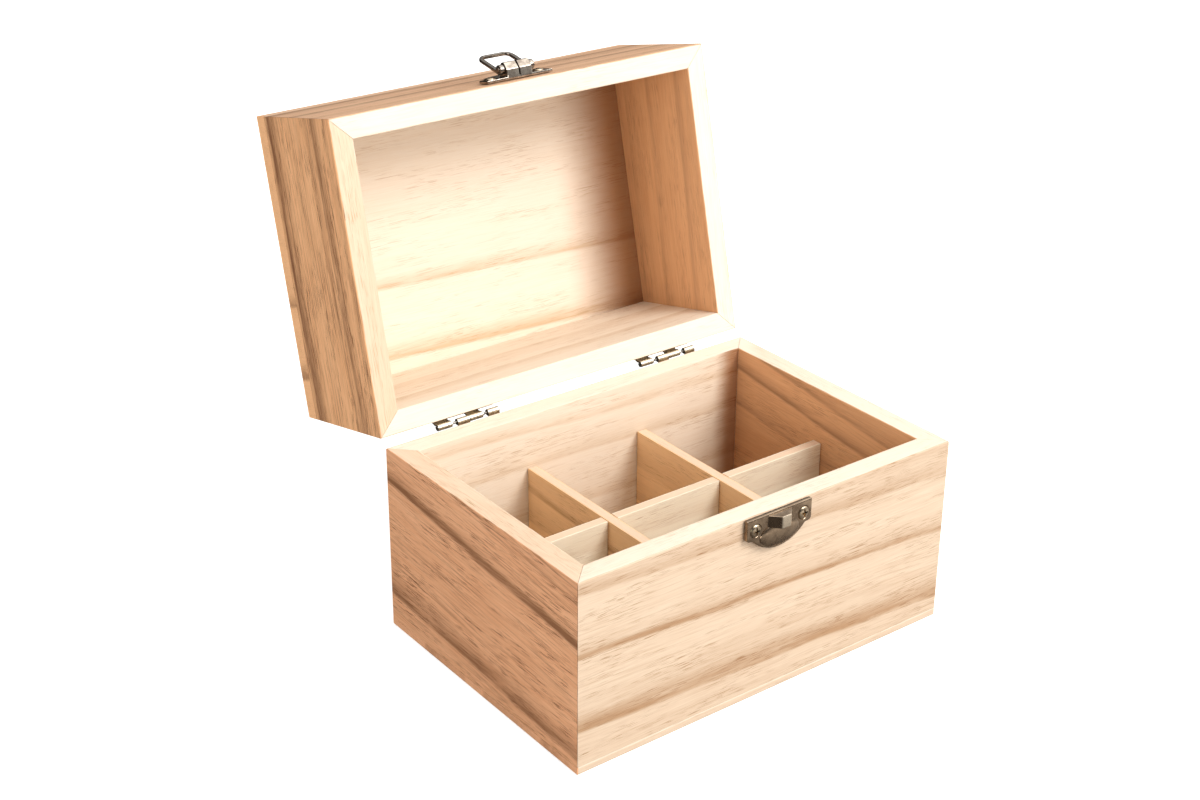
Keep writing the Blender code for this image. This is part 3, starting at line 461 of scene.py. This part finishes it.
HASP = plated("hasp_bronze", (0.20, 0.16, 0.13), (0.60, 0.53, 0.45), (0.90, 0.85, 0.76),
              0.15, 0.26, patina=0.62)
METALS = {"catch_plate": CATCH, "hasp_plate": HASP, "hasp_ring": RING, "hasp_pin": PEWTER}
for n in NODES:
    if "_leaf" in n:
        METALS[n] = HINGE_BRASS
    elif n.startswith("hinge_") and n.endswith("_pin"):
        METALS[n] = PIN
    elif "screw" in n:
        METALS[n] = SCREW
for n, mat in METALS.items():
    for sl in NODES[n].material_slots:
        sl.link = 'OBJECT'
        sl.material = mat


# -------------------------------------------------------------- edges and shading
for n, o in NODES.items():
    me = o.data
    if "custom_normal" in me.attributes:
        me.attributes.remove(me.attributes["custom_normal"])
    me.shade_smooth()
    weld = o.modifiers.new("Weld", 'WELD')
    weld.merge_threshold = 1e-6
    if n in WOODS:
        flat = o.modifiers.new("Flat", 'DECIMATE')
        flat.decimate_type = 'DISSOLVE'
        flat.angle_limit = math.radians(0.3)
        bev = o.modifiers.new("Bevel", 'BEVEL')
        bev.width = 0.0002 if "divider" in n else 0.00007
        bev.segments = 2
        bev.limit_method = 'ANGLE'
        bev.angle_limit = math.radians(62)
        wn = o.modifiers.new("Normals", 'WEIGHTED_NORMAL')
        wn.weight = 100
    else:
        split = o.modifiers.new("Split", 'EDGE_SPLIT')
        split.split_angle = math.radians(38)
        split.use_edge_sharp = False
        wn = o.modifiers.new("Normals", 'WEIGHTED_NORMAL')
        wn.mode = 'FACE_AREA_WITH_ANGLE'
        wn.weight = 60


# --------------------------------------------------------------------------- stage
def floor_material():
    """Pale paper.  It gives back less light to the object than it shows."""
    t = Tree("studio_floor")
    n = t.noise(t.coord, 3.0, 3.0, 0.5)
    path = t.nt.nodes.new("ShaderNodeLightPath").outputs["Is Camera Ray"]
    shown = t.mix(n, (0.93, 0.93, 0.93), (0.955, 0.955, 0.955))
    given = t.mix(n, (0.42, 0.42, 0.42), (0.45, 0.45, 0.45))
    gloss = t.nt.nodes.new("ShaderNodeLightPath").outputs["Is Glossy Ray"]
    side = t.step(t.vec('DOT_PRODUCT', t.coord, Vector((0.80, -0.60, 0.0))), -0.02, 0.32)
    near = t.step(t.vec('LENGTH', t.coord), 0.40, 0.95, 1.0, 0.0)
    mirrored = t.mix(t.math('MULTIPLY', side, near), (0.06, 0.053, 0.047), (0.62, 0.60, 0.57))
    given = t.mix(gloss, given, mirrored)
    mat = t.finish(t.mix(path, given, shown), 0.75, 0.0, None, 0.1)
    t.bsdf.inputs["Emission Color"].default_value = (1, 1, 1, 1)
    t.put(t.math('MULTIPLY', path, 0.60), t.bsdf.inputs["Emission Strength"])
    return mat


bpy.ops.mesh.primitive_circle_add(vertices=96, radius=7.0, fill_type='NGON',
                                  location=(0, 0, -0.0001))
floor = bpy.context.object
floor.name = "studio_floor"
floor.data.materials.append(floor_material())

world = bpy.data.worlds.new("studio")
bpy.context.scene.world = world
world.use_nodes = True
wt = world.node_tree
wt.nodes.clear()
w_out = wt.nodes.new("ShaderNodeOutputWorld")
w_bg = wt.nodes.new("ShaderNodeBackground")
w_dir = wt.nodes.new("ShaderNodeTexCoord").outputs["Generated"]
w_dot = wt.nodes.new("ShaderNodeVectorMath")
w_dot.operation = 'DOT_PRODUCT'
wt.links.new(w_dir, w_dot.inputs[0])
w_dot.inputs[1].default_value = Vector((0.42, -0.28, 0.86)).normalized()
w_range = wt.nodes.new("ShaderNodeMapRange")
w_range.interpolation_type = 'SMOOTHSTEP'
w_range.inputs["From Min"].default_value = -0.35
w_range.inputs["From Max"].default_value = 0.85
w_range.inputs["To Min"].default_value = 0.14
w_range.inputs["To Max"].default_value = 0.96
wt.links.new(w_dot.outputs["Value"], w_range.inputs["Value"])
w_bg.inputs["Color"].default_value = (1.0, 0.985, 0.965, 1)
wt.links.new(w_range.outputs["Result"], w_bg.inputs["Strength"])
w_seen = wt.nodes.new("ShaderNodeBackground")
w_seen.inputs["Color"].default_value = (1, 1, 1, 1)
w_seen.inputs["Strength"].default_value = 1.0
w_path = wt.nodes.new("ShaderNodeLightPath")
w_mix = wt.nodes.new("ShaderNodeMixShader")
w_up = wt.nodes.new("ShaderNodeVectorMath")
w_up.operation = 'DOT_PRODUCT'
wt.links.new(w_dir, w_up.inputs[0])
w_up.inputs[1].default_value = Vector((0.50, -0.20, 0.83)).normalized()
w_sky = wt.nodes.new("ShaderNodeMapRange")
w_sky.interpolation_type = 'SMOOTHSTEP'
w_sky.inputs["From Min"].default_value = 0.40
w_sky.inputs["From Max"].default_value = 0.95
w_sky.inputs["To Min"].default_value = 0.03
w_sky.inputs["To Max"].default_value = 2.5
wt.links.new(w_up.outputs["Value"], w_sky.inputs["Value"])
w_mirror = wt.nodes.new("ShaderNodeBackground")
w_mirror.inputs["Color"].default_value = (1.0, 0.99, 0.97, 1)
wt.links.new(w_sky.outputs["Result"], w_mirror.inputs["Strength"])
w_off = wt.nodes.new("ShaderNodeMixShader")
wt.links.new(w_path.outputs["Is Glossy Ray"], w_off.inputs[0])
wt.links.new(w_bg.outputs[0], w_off.inputs[1])
wt.links.new(w_mirror.outputs[0], w_off.inputs[2])
wt.links.new(w_path.outputs["Is Camera Ray"], w_mix.inputs[0])
wt.links.new(w_off.outputs[0], w_mix.inputs[1])
wt.links.new(w_seen.outputs[0], w_mix.inputs[2])
wt.links.new(w_mix.outputs[0], w_out.inputs["Surface"])


def area(name, toward, dist, size, power, colour=(1, 1, 1), target=(0, 0.02, 0.08)):
    """A soft light at `dist` in direction `toward` from the target, shining at it."""
    d = Vector(toward).normalized()
    la = bpy.data.lights.new(name, 'AREA')
    la.shape = 'DISK'
    la.size = size
    la.energy = power
    la.color = colour
    lo = bpy.data.objects.new(name, la)
    bpy.context.scene.collection.objects.link(lo)
    lo.location = Vector(target) + d * dist
    lo.rotation_mode = 'QUATERNION'
    lo.rotation_quaternion = (-d).to_track_quat('-Z', 'Y')
    lo.visible_camera = False
    return lo


area("key", (0.37, -0.68, 0.72), 1.6, 0.80, 19.2, (1.0, 0.99, 0.975))
fill = area("front_fill", (0.08, -1.0, 0.20), 1.7, 0.7, 7.4, (1.0, 0.985, 0.96))
fill.visible_glossy = False
back = area("back_fill", (0.35, 1.0, 0.0), 1.9, 0.9, 14.0, (1.0, 0.95, 0.88))
back.visible_glossy = False
area("side_fill", (-1.0, -0.12, 0.05), 1.7, 0.8, 17.0, (1.0, 0.99, 0.98))

# -------------------------------------------------------------------------- camera
cam_data = bpy.data.cameras.new("camera")
cam = bpy.data.objects.new("camera", cam_data)
bpy.context.scene.collection.objects.link(cam)
fwd = Vector((0.55148, 0.72278, -0.41649)).normalized()
right = Vector((0.79714, -0.60374, 0.00778))
right = (right - fwd * right.dot(fwd)).normalized()
up = right.cross(fwd)
cam.matrix_world = Matrix.Translation((-0.41370, -0.50190, 0.40998)) @ Matrix(
    (right, up, -fwd)).transposed().to_4x4()
cam_data.sensor_width = 36.0
cam_data.lens = 58.13
cam_data.shift_x = -0.0043
cam_data.shift_y = -0.0342
cam_data.clip_start = 0.01
cam_data.clip_end = 60.0
bpy.context.scene.camera = cam
bpy.context.scene.view_settings.view_transform = 'Standard'
